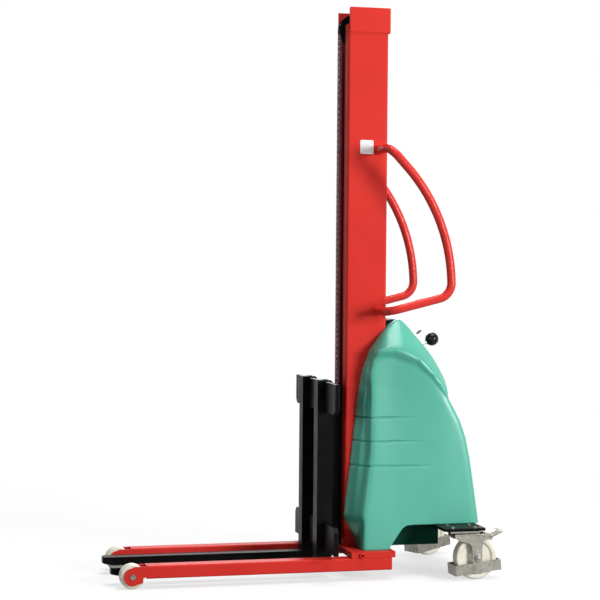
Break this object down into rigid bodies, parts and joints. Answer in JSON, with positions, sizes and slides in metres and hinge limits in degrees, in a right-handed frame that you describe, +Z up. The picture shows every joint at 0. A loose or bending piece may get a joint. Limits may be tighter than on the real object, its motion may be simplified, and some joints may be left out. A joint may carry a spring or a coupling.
{
  "type": "pedestrian pallet stacker",
  "caption": "Walk-behind stacker: a chain-lifted fork carriage runs up a slotted red mast with straddle legs, moulded hood, push handles and braked rear castors.",
  "frame": {"origin": "on the floor, below the middle of the mast's front face", "axes": "+Z up; the forks point to -X, so the operator stands at +X; +Y is the far side in the picture"},
  "size_m": [1.3397, 0.6119, 1.97],
  "materials": {
    "red_paint": "gloss",
    "black_paint": "gloss",
    "green_moulding": "satin",
    "green_sheet": "satin",
    "ivory_nylon": "satin",
    "zinc_plate": "satin",
    "chain_steel": "oiled",
    "bright_steel": "polished",
    "machined_steel": "machined",
    "black_knob": "gloss",
    "black_case": "matt",
    "white_plate": "gloss",
    "unit_paint": "satin",
    "alloy": "machined"
  },
  "bodies": {
    "chassis": {"near_leg": "red_paint", "far_leg": "red_paint", "base_plate": "red_paint", "base_bolts": "red_paint", "roller_axles": "zinc_plate", "mast_column": "red_paint", "guide_rails": "machined_steel", "head_cap": "red_paint", "label_plate": "white_plate", "near_handle": "red_paint", "far_handle": "red_paint", "sheave_pin": "machined_steel", "chain_wrap": "chain_steel", "lift_chain": "chain_steel", "chain_tail": "chain_steel", "chain_anchor": "machined_steel", "lift_cylinder": "unit_paint", "rear_frame": "red_paint", "undertray": "green_sheet", "castor_plates": "zinc_plate", "castor_bolts": "zinc_plate", "hood": "green_moulding", "battery": "black_case", "unit_bracket": "unit_paint", "oil_tank": "black_case", "pump_block": "alloy", "pump_motor": "unit_paint", "lever_bracket": "machined_steel", "key_switch": "machined_steel"},
    "carriage": {"upper_bar": "black_paint", "lower_bar": "black_paint", "carriage_plates": "black_paint", "guide_shafts": "machined_steel", "chain_clevis": "black_paint"},
    "upper_rollers": {"upper_guide_rollers": "machined_steel"},
    "lower_rollers": {"lower_guide_rollers": "machined_steel"},
    "near_fork_set": {"near_fork": "black_paint", "near_fork_screws": "black_paint"},
    "far_fork_set": {"far_fork": "black_paint", "far_fork_screws": "black_paint"},
    "lift_rod": {"piston_rod": "bright_steel", "rod_clevis": "machined_steel", "chain_loop": "chain_steel"},
    "rod_pulley_wheel": {"rod_pulley": "machined_steel"},
    "sheave": {"top_sheave": "machined_steel"},
    "near_front_roller": {"near_roller": "ivory_nylon"},
    "far_front_roller": {"far_roller": "ivory_nylon"},
    "lever": {"control_lever": "machined_steel", "lever_knob": "black_knob"},
    "ignition_key": {"key": "bright_steel"},
    "near_castor": {"near_castor_fork": "zinc_plate", "near_castor_pins": "zinc_plate", "near_castor_guard": "zinc_plate"},
    "near_wheel": {"near_castor_wheel": "ivory_nylon"},
    "near_brake": {"near_brake_pedal": "zinc_plate"},
    "far_castor": {"far_castor_fork": "zinc_plate", "far_castor_pins": "zinc_plate", "far_castor_guard": "zinc_plate"},
    "far_wheel": {"far_castor_wheel": "ivory_nylon"},
    "far_brake": {"far_brake_pedal": "zinc_plate"}
  },
  "joints": [
    {"name": "lift", "type": "slide", "parent": "chassis", "child": "carriage", "axis": [0, 0, 1], "range_m": [0, 1.4], "deforming": ["lift_chain"]},
    {"name": "rod_pull", "type": "slide", "parent": "chassis", "child": "lift_rod", "axis": [0, 0, -1], "range_m": [0, 0.7], "deforming": ["chain_tail"]},
    {"name": "top_sheave_spin", "type": "hinge", "parent": "chassis", "child": "sheave", "pos_m": [0.039, 0, 1.898], "axis": [0, 1, 0], "range_deg": [0, 1640]},
    {"name": "rod_pulley_spin", "type": "hinge", "parent": "lift_rod", "child": "rod_pulley_wheel", "pos_m": [0.108, 0, 1.733], "axis": [0, 1, 0], "range_deg": [-2010, 0]},
    {"name": "upper_roller_spin", "type": "hinge", "parent": "carriage", "child": "upper_rollers", "pos_m": [0.0433, 0, 0.42], "axis": [0, 1, 0], "range_deg": [-2300, 0]},
    {"name": "lower_roller_spin", "type": "hinge", "parent": "carriage", "child": "lower_rollers", "pos_m": [0.0433, 0, 0.2], "axis": [0, 1, 0], "range_deg": [0, 2300]},
    {"name": "near_fork_slide", "type": "slide", "parent": "carriage", "child": "near_fork_set", "axis": [0, 1, 0], "range_m": [-0.012, 0.045]},
    {"name": "far_fork_slide", "type": "slide", "parent": "carriage", "child": "far_fork_set", "axis": [0, 1, 0], "range_m": [-0.045, 0.012]},
    {"name": "near_front_roller_spin", "type": "hinge", "parent": "chassis", "child": "near_front_roller", "pos_m": [-0.759, -0.1755, 0.041], "axis": [0, 1, 0], "continuous": true},
    {"name": "far_front_roller_spin", "type": "hinge", "parent": "chassis", "child": "far_front_roller", "pos_m": [-0.759, 0.1755, 0.041], "axis": [0, 1, 0], "continuous": true},
    {"name": "lever_tilt", "type": "hinge", "parent": "chassis", "child": "lever", "pos_m": [0.24998, 0, 0.77057], "axis": [0, 1, 0], "range_deg": [-12, 12], "stiffness_Nm_per_rad": 4},
    {"name": "key_turn", "type": "hinge", "parent": "chassis", "child": "ignition_key", "pos_m": [0.2521, -0.04, 0.825], "axis": [0.7933, 0, 0.6089], "range_deg": [0, 90]},
    {"name": "near_castor_swivel", "type": "hinge", "parent": "chassis", "child": "near_castor", "pos_m": [0.37, -0.238, 0], "axis": [0, 0, 1], "continuous": true},
    {"name": "near_wheel_spin", "type": "hinge", "parent": "near_castor", "child": "near_wheel", "pos_m": [0.42097, -0.23622, 0.075], "axis": [-0.0349, 0.9994, 0], "continuous": true},
    {"name": "near_brake_press", "type": "hinge", "parent": "near_castor", "child": "near_brake", "pos_m": [0.46794, -0.23458, 0.15], "axis": [-0.0349, 0.9994, 0], "range_deg": [0, 12], "stiffness_Nm_per_rad": 20, "springref_deg": -5.73},
    {"name": "far_castor_swivel", "type": "hinge", "parent": "chassis", "child": "far_castor", "pos_m": [0.37, 0.238, 0], "axis": [0, 0, 1], "continuous": true},
    {"name": "far_wheel_spin", "type": "hinge", "parent": "far_castor", "child": "far_wheel", "pos_m": [0.41584, 0.26036, 0.075], "axis": [-0.4384, 0.8988, 0], "continuous": true},
    {"name": "far_brake_press", "type": "hinge", "parent": "far_castor", "child": "far_brake", "pos_m": [0.45808, 0.28096, 0.15], "axis": [-0.4384, 0.8988, 0], "range_deg": [0, 12], "stiffness_Nm_per_rad": 20, "springref_deg": -5.73}
  ],
  "couplings": [
    {"joint": "rod_pull", "follows": "lift", "ratio": 0.5},
    {"joint": "top_sheave_spin", "follows": "lift", "rad_per_m": 20.408},
    {"joint": "rod_pulley_spin", "follows": "lift", "rad_per_m": -25},
    {"joint": "upper_roller_spin", "follows": "lift", "rad_per_m": -28.571},
    {"joint": "lower_roller_spin", "follows": "lift", "rad_per_m": 28.571}
  ]
}
